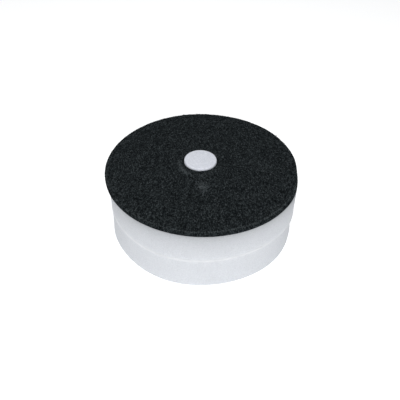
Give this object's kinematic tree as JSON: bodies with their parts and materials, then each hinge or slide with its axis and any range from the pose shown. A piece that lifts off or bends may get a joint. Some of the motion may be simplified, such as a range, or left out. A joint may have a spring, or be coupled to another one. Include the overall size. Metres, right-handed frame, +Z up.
{
  "type": "sponge filter",
  "caption": "Round sponge filter: white foam discs bonded under a black carbon fleece pad, with a lift-out foam plug above a bore for an intake tube.",
  "frame": {"origin": "centre of the flat underside that it stands on", "axes": "+Z up along the disc's axis, out of the black pad; +X to the right and +Y away from the viewer"},
  "size_m": [0.1506, 0.1506, 0.0546],
  "materials": {
    "white_foam": "open-cell foam, matt",
    "plug_foam": "open-cell foam with a closed skin on top, matt",
    "carbon_fleece": "needled fleece, matt, fibrous",
    "hot_melt": "pale hot-melt web"
  },
  "bodies": {
    "stack": {"lower_sponge": "white_foam", "seam_bond": "hot_melt", "upper_sponge": "white_foam", "pad_bond": "hot_melt", "carbon_pad": "carbon_fleece"},
    "plug": {"core_plug": "plug_foam"}
  },
  "joints": [
    {"name": "plug_lift", "type": "slide", "parent": "stack", "child": "plug", "axis": [0, 0, 1], "range_m": [0, 0.04]}
  ]
}
